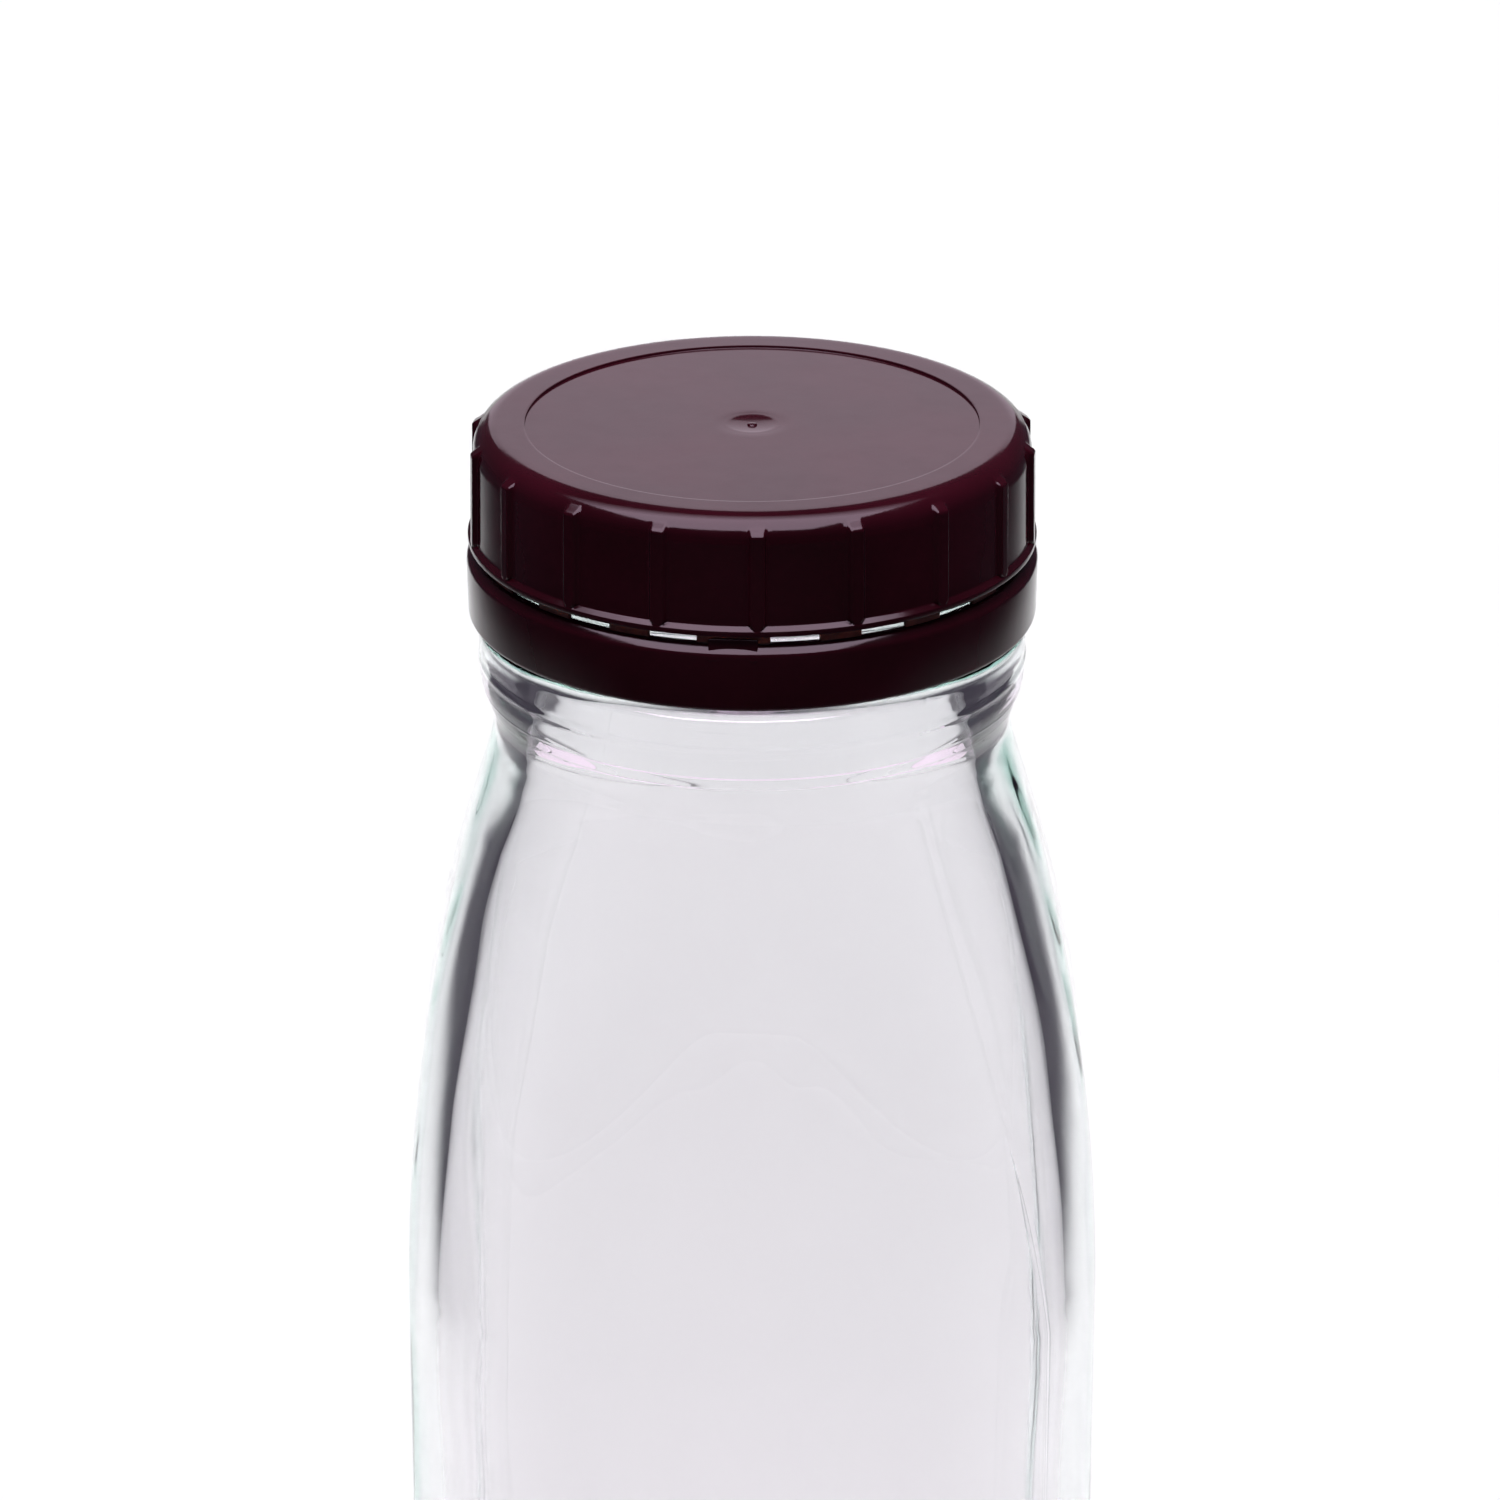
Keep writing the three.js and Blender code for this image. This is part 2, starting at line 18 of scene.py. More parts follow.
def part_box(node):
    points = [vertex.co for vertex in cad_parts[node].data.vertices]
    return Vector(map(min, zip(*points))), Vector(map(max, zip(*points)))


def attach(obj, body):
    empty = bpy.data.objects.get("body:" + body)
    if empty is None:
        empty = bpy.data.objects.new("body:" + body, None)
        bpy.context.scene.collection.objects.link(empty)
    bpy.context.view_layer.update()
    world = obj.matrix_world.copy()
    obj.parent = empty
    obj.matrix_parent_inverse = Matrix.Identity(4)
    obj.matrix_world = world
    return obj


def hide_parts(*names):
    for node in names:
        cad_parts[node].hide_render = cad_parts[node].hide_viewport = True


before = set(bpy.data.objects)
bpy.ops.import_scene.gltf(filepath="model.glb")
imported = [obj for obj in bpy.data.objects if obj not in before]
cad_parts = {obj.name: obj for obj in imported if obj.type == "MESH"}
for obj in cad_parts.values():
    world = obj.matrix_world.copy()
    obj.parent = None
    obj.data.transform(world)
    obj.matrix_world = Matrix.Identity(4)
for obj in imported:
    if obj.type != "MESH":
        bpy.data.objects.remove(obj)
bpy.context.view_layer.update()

MM = 0.001
TURN = 2 * math.pi
FRONT = -math.pi / 2  # polar angle of the front panel

# Lengths in millimetres that the bottle and the cap share.
THREAD_LEAD = 9.525  # rise in one turn
LOCK_DROP = 9.25  # rim to the top of the lock bead
THREAD_FOOT = 2.1  # lock bead to the middle of the glass thread's lower end

log = logging.getLogger("milk_bottle")

Ring = Callable[[float], Vector]
Colour = tuple[float, float, float]


# ---- Small helpers -----------------------------------------------------------------------------
def smooth(share: float) -> float:
    """Smoothstep of a share that is first kept between 0 and 1."""
    share = min(1.0, max(0.0, share))
    return share * share * (3 - 2 * share)


def mix(a: float, b: float, share: float) -> float:
    """The value that lies a share of the way from a to b."""
    return a + (b - a) * share


def spread(low: float, high: float, steps: int) -> list[float]:
    """Evenly spaced values from low to high, both included."""
    return [mix(low, high, i / steps) for i in range(steps + 1)]


def arc(centre: tuple[float, float], radii: tuple[float, float], start: float, end: float,
        steps: int) -> list[tuple[float, float]]:
    """Points along an arc.

    Args:
        centre: middle of the arc, as radius and height.
        radii: its two half axes.
        start: first angle, in degrees.
        end: last angle, in degrees.
        steps: number of stretches between the points.

    Returns:
        The points, both ends included.
    """
    angles = [math.radians(a) for a in spread(start, end, steps)]
    return [
        (centre[0] + radii[0] * math.cos(a), centre[1] + radii[1] * math.sin(a)) for a in angles
    ]


def angle_between(a: float, b: float) -> float:
    """Signed difference of two angles, within half a turn, in radians."""
    return (a - b + math.pi) % TURN - math.pi


def square_radius(half: float, corner: float, angle: float) -> float:
    """Distance from the axis to a rounded square.

    Args:
        half: half its width.
        corner: radius of its corners, equal to half for a circle.
        angle: polar angle, in radians.

    Returns:
        The distance along that angle.
    """
    across, along = sorted((abs(math.cos(angle)), abs(math.sin(angle))))
    centre = half - corner
    if half * across / along <= centre:
        return half / along
    reach = centre * (across + along)
    return reach + math.sqrt(max(0.0, reach * reach - 2 * centre * centre + corner * corner))


def at(radius: float, angle: float, z: float) -> Vector:
    """The point at a radius, a polar angle and a height."""
    return Vector((radius * math.cos(angle), radius * math.sin(angle), z))


def skin(columns: Sequence[float], rings: Sequence[Ring]) -> bmesh.types.BMesh:
    """Draws a circle of vertices through a row of rings, extruding it from each to the next.

    Args:
        columns: polar angle of each vertex of a ring, in radians.
        rings: one function for each ring, from an angle to a point.

    Returns:
        The skin, closed in a point at both ends, its faces pointing outwards.
    """
    bm = bmesh.new()
    column = bm.verts.layers.int.new("column")
    loop = first = bmesh.ops.create_circle(bm, segments=len(columns), radius=1.0)["verts"]
    for number, vert in enumerate(loop):
        vert[column] = number
    edges = list(bm.edges)
    for number, ring in enumerate(rings):
        if number:
            made = bmesh.ops.extrude_edge_only(bm, edges=edges)["geom"]
            loop = [part for part in made if isinstance(part, bmesh.types.BMVert)]
            fresh = set(loop)
            edges = [
                part for part in made
                if isinstance(part, bmesh.types.BMEdge) and fresh.issuperset(part.verts)
            ]
        for vert in loop:
            vert.co = ring(columns[vert[column]])
    for end in (first, loop):
        middle = sum((v.co for v in end), Vector()) / len(end)
        bmesh.ops.pointmerge(bm, verts=end, merge_co=middle)
    bmesh.ops.recalc_face_normals(bm, faces=bm.faces)
    return bm


def spun(profile: Iterable[tuple[float, float]], steps: int) -> bmesh.types.BMesh:
    """Turns a closed profile round the Z axis.

    Args:
        profile: its points, as radius and height.
        steps: number of segments in the turn.

    Returns:
        The ring, its faces pointing outwards.
    """
    bm = bmesh.new()
    verts = [bm.verts.new((radius, 0, z)) for radius, z in profile]
    edges = [bm.edges.new((a, b)) for a, b in zip(verts, verts[1:] + verts[:1])]
    bmesh.ops.spin(
        bm, geom=verts + edges, cent=(0, 0, 0), axis=(0, 0, 1),
        angle=TURN, steps=steps, use_merge=True,
    )
    bmesh.ops.recalc_face_normals(bm, faces=bm.faces)
    return bm


def block(size: Vector, centre: Vector, bevel: float) -> bmesh.types.BMesh:
    """A box with rounded edges.

    Args:
        size: its length along each axis, in millimetres.
        centre: its middle.
        bevel: width of the rounding.

    Returns:
        The box.
    """
    bm = bmesh.new()
    bmesh.ops.create_cube(bm, size=1.0)
    bmesh.ops.scale(bm, vec=size, verts=bm.verts)
    bmesh.ops.translate(bm, vec=centre, verts=bm.verts)
    bmesh.ops.bevel(
        bm, geom=list(bm.edges), offset=bevel, segments=3,
        affect="EDGES", profile=0.5, material=-1,
    )
    return bm


def gather(parts: Iterable[bmesh.types.BMesh]) -> bmesh.types.BMesh:
    """Several meshes in one, each freed once it is copied."""
    whole = bmesh.new()
    for part in parts:
        mesh = bpy.data.meshes.new("part")
        part.to_mesh(mesh)
        part.free()
        whole.from_mesh(mesh)
        bpy.data.meshes.remove(mesh)
    return whole


def finish_piece(name: str, bm: bmesh.types.BMesh, sharp: float = 40.0) -> bpy.types.Object:
    """Scales a mesh to metres, shades it and puts it in the scene.

    Args:
        name: name of the piece.
        bm: its mesh in millimetres, which is freed.
        sharp: faces that meet at more than this many degrees stay crisp.

    Returns:
        The new object, at the origin.
    """
    bmesh.ops.scale(bm, vec=(MM, MM, MM), verts=bm.verts)
    mesh = bpy.data.meshes.new(name)
    bm.to_mesh(mesh)
    bm.free()
    mesh.shade_smooth()
    mesh.set_sharp_from_angle(angle=math.radians(sharp))
    piece = bpy.data.objects.new(name, mesh)
    bpy.context.scene.collection.objects.link(piece)
    return piece


# ---- Sizes from the frame ----------------------------------------------------------------------
@dataclass(frozen=True)
class Levels:
    """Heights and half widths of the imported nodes, in millimetres."""

    half: float
    rim: float
    cap_top: float
    cap_bottom: float
    liner_top: float
    liner_bottom: float
    liner_radius: float
    band_bottom: float

    @classmethod
    def from_frame(cls) -> "Levels":
        """Reads them from the nodes' boxes."""
        boxes = {
            name: [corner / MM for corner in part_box(name)]
            for name in ("glass_bottle", "cap_shell", "cap_liner", "tamper_band")
        }
        return cls(
            half=boxes["glass_bottle"][1].x,
            rim=boxes["glass_bottle"][1].z,
            cap_top=boxes["cap_shell"][1].z,
            cap_bottom=boxes["cap_shell"][0].z,
            liner_top=boxes["cap_liner"][1].z,
            liner_bottom=boxes["cap_liner"][0].z,
            liner_radius=boxes["cap_liner"][1].x,
            band_bottom=boxes["tamper_band"][0].z,
        )


# ---- Finishes ----------------------------------------------------------------------------------
class Shader:
    """A material under construction: its Principled node and short ways to add to it."""

    def __init__(self, name: str) -> None:
        """Starts an empty Principled material."""
        self.material = bpy.data.materials.new(name)
        self.material.use_nodes = True
        self.nodes = self.material.node_tree.nodes
        self.links = self.material.node_tree.links
        self.skin = self.nodes["Principled BSDF"]
        self.output = self.nodes["Material Output"]
        self.place = self.add("ShaderNodeTexCoord").outputs["Object"]

    def add(self, kind: str, **inputs: object) -> bpy.types.Node:
        """Adds a node and sets its inputs, spaces in their names written as underscores."""
        node = self.nodes.new(kind)
        for name, value in inputs.items():
            node.inputs[name.replace("_", " ")].default_value = value
        return node

    def link(self, source: bpy.types.NodeSocket, target: bpy.types.NodeSocket) -> None:
        """Joins two sockets."""
        self.links.new(source, target)

    def set(self, **values: object) -> None:
        """Sets sockets of the Principled node, spaces in their names written as underscores."""
        for name, value in values.items():
            self.skin.inputs[name.replace("_", " ")].default_value = value

    def noise(self, scale: float, detail: float, stretch: tuple[float, float, float] = (1, 1, 1),
              ) -> bpy.types.NodeSocket:
        """Noise on Object coordinates.

        Args:
            scale: cycles per metre.
            detail: octaves.
            stretch: scale of the coordinates along each axis.

        Returns:
            The noise value, about 0 to 1.
        """
        mapping = self.add("ShaderNodeMapping", Scale=stretch)
        self.link(self.place, mapping.inputs["Vector"])
        texture = self.add("ShaderNodeTexNoise", Scale=scale, Detail=detail, Roughness=0.5)
        self.link(mapping.outputs["Vector"], texture.inputs["Vector"])
        return texture.outputs["Fac"]

    def ramp(self, value: bpy.types.NodeSocket, low: tuple[float, float], high: tuple[float, float],
             ) -> bpy.types.NodeSocket:
        """Maps a value from one range to another, kept between its ends.

        Args:
            value: the value.
            low: lower end of the range and what it becomes.
            high: upper end of the range and what it becomes.

        Returns:
            The mapped value.
        """
        node = self.add("ShaderNodeMapRange")
        for name, number in zip(("From Min", "To Min", "From Max", "To Max"), low + high):
            node.inputs[name].default_value = number
        self.link(value, node.inputs["Value"])
        return node.outputs["Result"]

    def blend(self, share: bpy.types.NodeSocket, first: Colour, second: Colour,
              ) -> bpy.types.NodeSocket:
        """A colour between two.

        Args:
            share: 0 for the first colour, 1 for the second.
            first: the first colour.
            second: the second colour.

        Returns:
            The colour.
        """
        node = self.nodes.new("ShaderNodeMix")
        node.data_type = "RGBA"
        colours = {socket.identifier: socket for socket in node.inputs}
        colours["A_Color"].default_value = (*first, 1)
        colours["B_Color"].default_value = (*second, 1)
        self.link(share, colours["Factor_Float"])
        return {socket.identifier: socket for socket in node.outputs}["Result_Color"]

    def bump(self, *layers: tuple[bpy.types.NodeSocket, float]) -> None:
        """Raises the surface by layers of heights, one after another.

        Args:
            layers: each layer's height value and its depth, in metres.
        """
        below = None
        for height, depth in layers:
            node = self.add("ShaderNodeBump", Strength=1.0, Distance=depth)
            self.link(height, node.inputs["Height"])
            if below:
                self.link(below, node.inputs["Normal"])
            below = node.outputs["Normal"]
        self.link(below, self.skin.inputs["Normal"])


@dataclass(frozen=True)
class FlintGlass:
    """Clear soda-lime glass that turns green where the light runs far through it."""

    ior: float = 1.517
    clear: Colour = (0.949, 0.925, 0.945)
    absorbed: Colour = (0.2, 0.7, 0.55)
    density: float = 10.0

    def material(self) -> bpy.types.Material:
        """Builds the material."""
        shader = Shader("flint_glass")
        shader.set(
            Base_Color=(*self.clear, 1), Roughness=0.0, IOR=self.ior, Transmission_Weight=1.0,
        )
        shader.bump((shader.noise(55, 2.0, (1, 1, 0.35)), 0.00006))
        volume = shader.add(
            "ShaderNodeVolumeAbsorption", Color=(*self.absorbed, 1), Density=self.density,
        )
        shader.link(volume.outputs["Volume"], shader.output.inputs["Volume"])
        return shader.material


@dataclass(frozen=True)
class CapPlastic:
    """Moulded maroon polypropylene, glossy with duller patches of wear."""

    dark: Colour = (0.030, 0.0022, 0.0065)
    light: Colour = (0.040, 0.0030, 0.0090)
    gloss: float = 0.08
    satin: float = 0.16
    specular: float = 0.2

    def material(self) -> bpy.types.Material:
        """Builds the material."""
        shader = Shader("maroon_polypropylene")
        shader.set(IOR=1.49, Specular_IOR_Level=self.specular)
        tone = shader.ramp(shader.noise(90, 3.0), (0.35, 0.0), (0.65, 1.0))
        shader.link(shader.blend(tone, self.dark, self.light), shader.skin.inputs["Base Color"])
        wear = shader.ramp(shader.noise(420, 4.0), (0.3, self.gloss), (0.75, self.satin))
        shader.link(wear, shader.skin.inputs["Roughness"])
        shader.bump((shader.noise(260, 2.0), 0.000012), (shader.noise(3200, 2.0), 0.000003))
        return shader.material


@dataclass(frozen=True)
class BridgePlastic:
    """The same plastic, so thin in the bridges that light glows through it."""

    body: Colour = (0.17, 0.03, 0.018)
    through: float = 0.45

    def material(self) -> bpy.types.Material:
        """Builds the material."""
        shader = Shader("thin_maroon_polypropylene")
        shader.set(IOR=1.49, Roughness=0.35, Transmission_Weight=self.through)
        tone = shader.ramp(shader.noise(900, 2.0), (0.3, 0.0), (0.7, 1.0))
        darker = tuple(0.7 * part for part in self.body)
        shader.link(shader.blend(tone, darker, self.body), shader.skin.inputs["Base Color"])
        return shader.material


@dataclass(frozen=True)
class LinerFoam:
    """White closed-cell foam with a fine, slightly open skin."""

    colour: Colour = (0.83, 0.82, 0.78)

    def material(self) -> bpy.types.Material:
        """Builds the material."""
        shader = Shader("liner_foam")
        shader.set(Roughness=0.75, IOR=1.45)
        tone = shader.ramp(shader.noise(600, 4.0), (0.3, 0.0), (0.7, 1.0))
        darker = tuple(0.93 * part for part in self.colour)
        shader.link(shader.blend(tone, darker, self.colour), shader.skin.inputs["Base Color"])
        cells = shader.add("ShaderNodeTexVoronoi", Scale=2600.0)
        shader.link(shader.place, cells.inputs["Vector"])
        shader.bump((cells.outputs["Distance"], 0.00006), (shader.noise(500, 3.0), 0.00004))
        return shader.material


# ---- Screw thread ------------------------------------------------------------------------------
@dataclass(frozen=True)
class Helix:
    """The starts of a screw thread, as relief on a round wall. Lengths are in millimetres."""

    from_z: float
    from_angle: float  # degrees
    sweep: float  # degrees
    depth: float
    root_half: float
    crest_half: float
    starts: int = 3
    fade: float = 14.0  # degrees over which it grows out of the wall

    def relief(self, angle: float, z: float) -> float:
        """How far the thread stands off its wall at a polar angle in radians and a height."""
        highest = 0.0
        for start in range(self.starts):
            turn = (math.degrees(angle) - self.from_angle - 360 * start / self.starts) % 360
            if turn > self.sweep:
                continue
            off = abs(z - self.from_z - THREAD_LEAD * turn / 360)
            flank = smooth((self.root_half - off) / (self.root_half - self.crest_half))
            grown = smooth(min(turn, self.sweep - turn) / self.fade)
            highest = max(highest, self.depth * flank * grown)
        return highest


# ---- Glass bottle ------------------------------------------------------------------------------
@dataclass
class GlassBottle:
    """The bottle: one wall of glass from the push-up of the base over the rim to the floor.

    Lengths are in millimetres and angles in degrees.
    """

    levels: Levels
    finish: FlintGlass = field(default_factory=FlintGlass)
    corner: float = 17.0
    body_height: float = 102.7
    shoulder_height: float = 49.5
    neck_height: float = 1.2
    flare_height: float = 5.1
    parting_drop: float = 1.4  # lower edge of the transfer bead to the upper parting line
    neck_fillet: float = 0.8
    wall: float = 2.75
    neck_wall: float = 4.4
    heel: float = 5.0
    inner_heel: float = 8.0
    base: float = 5.0
    bearing: float = 5.0
    push_up: float = 2.5
    bore: float = 19.2
    thread_root: float = 22.4
    thread_depth: float = 1.35
    thread_drop: float = 1.9  # rim to the middle of the thread's upper end
    rim_round: float = 0.9
    bead_height: float = 4.7
    bead_proud: float = 2.35
    lip_rise: float = 1.3  # lower edge of the transfer bead to the fine lip round it
    lip_proud: float = 0.14
    lip_half: float = 0.36
    undercut: float = 22.8
    lock_bead: float = 24.0
    lock_height: float = 3.1
    corner_extra: float = 0.5  # glass added inside the corners
    corner_ease: float = 0.3  # share of easing in the way from square to round
    wander: float = 0.05  # of the outside
    slow_ripple: float = 0.32  # of the inside
    quick_ripple: float = 0.11
    seam_proud: float = 0.035
    seam_half: float = 0.45
    seam_corner: float = 45.0  # from the front panel, on the body
    seam_neck: float = 38.5
    seam_reach: float = 30.0  # how far round the columns lean with a seam
    columns: int = 176

    @property
    def neck_radius(self) -> float:
        """Outside radius of the plain neck."""
        return self.bore + self.neck_wall

    @property
    def neck_bottom(self) -> float:
        """Height at which the shoulder ends."""
        return self.body_height + self.shoulder_height

    @property
    def bead_z(self) -> float:
        """Height at which the flared neck becomes the transfer bead."""
        return self.neck_bottom + self.neck_height + self.flare_height

    @property
    def lock_top(self) -> float:
        """Height of the top of the lock bead."""
        return self.levels.rim - LOCK_DROP

    def thread(self) -> Helix:
        """The thread on the finish."""
        from_z = self.lock_top + THREAD_FOOT
        rise = self.levels.rim - self.thread_drop - from_z
        return Helix(
            from_z, from_angle=0.0, sweep=360 * rise / THREAD_LEAD, depth=self.thread_depth,
            root_half=0.9, crest_half=0.35,
        )

    def shoulder_half(self, z: float) -> float:
        """Half width of the outside at a height in the shoulder."""
        reach = self.levels.half - self.neck_radius
        bow = (self.shoulder_height ** 2 + reach ** 2) / (2 * reach)
        half = self.levels.half - bow + math.sqrt(bow ** 2 - (z - self.body_height) ** 2)
        return (half + self.neck_radius + math.hypot(half - self.neck_radius, self.neck_fillet)) / 2

    def roundness(self, z: float) -> float:
        """Share of the way from square body to round neck."""
        share = min(1.0, max(0.0, (z - self.body_height) / self.shoulder_height))
        return mix(share, smooth(share), self.corner_ease)

    def shoulder_corner(self, z: float) -> float:
        """Corner radius of the outside at a height in the shoulder."""
        return self.shoulder_half(z) * mix(self.corner / self.levels.half, 1.0, self.roundness(z))

    def seam_angle(self, z: float) -> float:
        """Polar angle of the front mould seam, which leaves the corner towards the neck."""
        return FRONT + math.radians(mix(self.seam_corner, self.seam_neck, self.roundness(z)))

    def column(self, angle: float, z: float) -> float:
        """Polar angle of a column at a height: those by the seams lean with them."""
        lean = self.seam_angle(z) - self.seam_angle(0.0)
        for side in (0, math.pi):
            off = abs(angle_between(angle, self.seam_angle(0.0) + side))
            angle += lean * smooth(1 - off / math.radians(self.seam_reach))
        return angle

    def seam(self, angle: float, radius: float, z: float) -> float:
        """Height of the two mould seams' ridge."""
        off = min(
            abs(angle_between(angle, self.seam_angle(z) + side)) * radius for side in (0, math.pi)
        )
        return self.seam_proud * smooth(1 - off / self.seam_half)

    def outside_ring(self, half: float, corner: float, z: float, seamed: bool = True) -> Ring:
        """A ring of the outside, with the seams and the faint wander of moulded glass.

        Args:
            half: half the width of the rounded square.
            corner: radius of its corners.
            z: its height.
            seamed: whether the seams and the wander are there.

        Returns:
            The ring.
        """
        def ring(angle: float) -> Vector:
            angle = self.column(angle, z)
            radius = square_radius(half, corner, angle)
            if seamed:
                x, y = radius * math.cos(angle), radius * math.sin(angle)
                drift = noise.noise(Vector((x / 26, y / 26, z / 40)))
                radius += self.wander * drift + self.seam(angle, radius, z)
            return at(radius, angle, z)
        return ring

    def inside_ring(self, half: float, corner: float, z: float, ripple: float = 1.0) -> Ring:
        """A ring of the inside, which was blown and so is wavier than the outside.

        Args:
            half: half the width of the rounded square.
            corner: radius of its corners.
            z: its height.
            ripple: strength of the waves.

        Returns:
            The ring.
        """
        def ring(angle: float) -> Vector:
            angle = self.column(angle, z)
            radius = square_radius(half, corner, angle)
            x, y = radius * math.cos(angle), radius * math.sin(angle)
            slow = noise.noise(Vector((x / 17, y / 17, z / 55 + 7)))
            quick = noise.noise(Vector((x / 6, y / 6, z / 30 + 31)))
            radius += ripple * (self.slow_ripple * slow + self.quick_ripple * quick)
            return at(radius - min(1.0, ripple) * self.corner_glass(angle, z), angle, z)
        return ring

    def inner_half(self, z: float) -> float:
        """Half width of the inside at a height in the neck or the shoulder.

        It is the mean over nine heights round that one, which eases it like blown glass.
        """
        total = 0.0
        for step in range(-4, 5):
            height = z + 2.2 * step
            level = min(self.neck_bottom, max(self.body_height, height))
            wall = mix(self.wall, self.neck_wall, self.roundness(level))
            total += self.shoulder_half(level) - wall if height < self.neck_bottom else self.bore
        return total / 9

    def corner_glass(self, angle: float, z: float) -> float:
        """Extra glass inside the four corners, which thins out above and below the shoulder."""
        cornered = smooth((1 - math.cos(4 * angle)) / 2)
        drift = noise.noise(Vector((math.cos(angle), math.sin(angle), 5.0))) * 5
        top, knee = self.body_height + 34, self.body_height + drift
        foot = knee - 13
        if z > knee:
            share = smooth((top - z) / (top - knee))
        else:
            share = mix(0.35, 1.0, smooth((z - foot) / (knee - foot)))
        return self.corner_extra * cornered * share

    def base_rings(self) -> list[Ring]:
        """Rings of the push-up, the bearing ring and the heel, from the middle outwards."""
        bearing = self.levels.half - self.heel
        hollow = bearing - self.bearing
        hollow_corner = self.corner - self.heel - self.bearing
        rings = [
            self.outside_ring(
                share * hollow, share * hollow_corner, self.push_up * (1 - share ** 2), False,
            )
            for share in spread(0.02, 1.0, 14)
        ]
        rings += [
            self.outside_ring(half, self.corner - self.levels.half + half, 0.0, False)
            for half in spread(hollow + 0.4, bearing - 0.4, 4)
        ]
        rings += [
            self.outside_ring(half, self.corner - self.levels.half + half, z)
            for half, z in arc((bearing, self.heel), (self.heel, self.heel), -90, 0, 12)
        ]
        return rings

    def side_rings(self) -> list[Ring]:
        """Rings of the body's side and of the shoulder, up to the neck."""
        body = spread(self.heel, self.body_height, 30)[1:]
        shoulder = spread(self.body_height, self.neck_bottom, 40)[1:]
        return [
            *(self.outside_ring(self.levels.half, self.corner, z) for z in body),
            *(
                self.outside_ring(self.shoulder_half(z), self.shoulder_corner(z), z)
                for z in shoulder
            ),
        ]

    def finish_profile(self) -> list[tuple[float, float]]:
        """Radius and height of the round finish, from the neck up to the rim and into the bore."""
        side = self.undercut + self.bead_proud - 0.08
        parting_z = self.bead_z - self.parting_drop
        lines = {parting_z: 0.03, parting_z - 1.2: 0.012}  # height and how proud it is
        flare_z = self.bead_z - self.flare_height
        levels = spread(self.neck_bottom + 0.3, self.bead_z, 26)
        levels += [line + off for line in lines for off in (-0.09, -0.03, 0.03, 0.09)]
        flare = []
        for z in sorted(levels):
            proud = sum(high for line, high in lines.items() if abs(z - line) < 0.05)
            share = smooth((z - flare_z) / self.flare_height)
            flare.append((mix(self.shoulder_half(z), side, share) + proud, z))
        bead_top = self.bead_z + self.bead_height
        bead = []
        for z in spread(self.bead_z + 0.2, bead_top - 1.2, 18):
            over_lip = z - self.bead_z - self.lip_rise
            lip = self.lip_proud * math.exp(-(over_lip / self.lip_half) ** 2)
            bead.append((side + lip + 0.05 * smooth(over_lip / 1.5), z))
        bead += arc(
            (self.undercut + 1.1, bead_top - 1.0), (self.bead_proud - 1.13, 1.0), 6, 86, 8,
        )
        lock_bottom = self.lock_top - self.lock_height
        top = self.levels.rim - self.rim_round
        rounds = (self.rim_round, self.rim_round)
        return [
            *flare,
            *bead,
            (self.undercut, bead_top + 0.4),
            (self.undercut, lock_bottom - 0.5),
            *arc((self.undercut, lock_bottom + 1.0), (1.2, 1.3), -85, 0, 6),
            *((self.lock_bead, z) for z in spread(lock_bottom + 1.2, self.lock_top - 1.5, 2)),
            *arc((self.thread_root, self.lock_top - 1.4), (1.6, 1.4), 8, 88, 7),
            *((self.thread_root, z) for z in spread(self.lock_top + 0.2, top - 0.1, 36)),
            *arc((self.thread_root - self.rim_round, top), rounds, 0, 90, 7),
            *arc((self.bore + self.rim_round, top), rounds, 90, 180, 7),
        ]

    def finish_rings(self) -> list[Ring]:
        """Rings of the finish, with its thread and the seam that crosses it."""
        thread = self.thread()

        def ring_at(radius: float, z: float) -> Ring:
            def ring(angle: float) -> Vector:
                angle = self.column(angle, z)
                proud = 0.0
                if radius > self.bore + 2:
                    proud += 0.4 * self.seam(angle, radius, self.neck_bottom)
                if abs(radius - self.thread_root) < 0.01:
                    proud += thread.relief(angle, z)
                return at(radius + proud, angle, z)
            return ring

        return [ring_at(radius, z) for radius, z in self.finish_profile()]

    def inside_rings(self) -> list[Ring]:
        """Rings of the inside, from the bore down to the middle of the floor."""
        bore = [
            self.inside_ring(self.bore, self.bore, z, 0.1)
            for z in spread(self.levels.rim - 2.0, self.neck_bottom + 10, 8)
        ]
        half, corner = self.levels.half - self.wall, self.corner - self.wall
        shoulder = []
        for z in spread(self.neck_bottom + 8.8, self.body_height, 48):
            here = self.inner_half(z)
            corner_here = here * mix(corner / half, 1.0, self.roundness(z))
            shoulder.append(self.inside_ring(here, corner_here, z))
        heel_z = self.base + self.inner_heel
        levels = spread(self.body_height, heel_z, 30)[1:-1]
        body = [self.inside_ring(half, corner, z) for z in levels]
        floor_half = half - self.inner_heel
        floor_corner = corner - self.inner_heel
        rounds = (self.inner_heel, self.inner_heel)
        heel = [
            self.inside_ring(x, corner - half + x, z)
            for x, z in arc((floor_half, heel_z), rounds, 0, -90, 12)
        ]
        floor = [
            self.inside_ring(
                share * floor_half, share * floor_corner,
                self.base + self.push_up * (1 - share ** 2), 0.5,
            )
            for share in spread(0.94, 0.02, 12)
        ]
        return [*bore, *shoulder, *body, *heel, *floor]

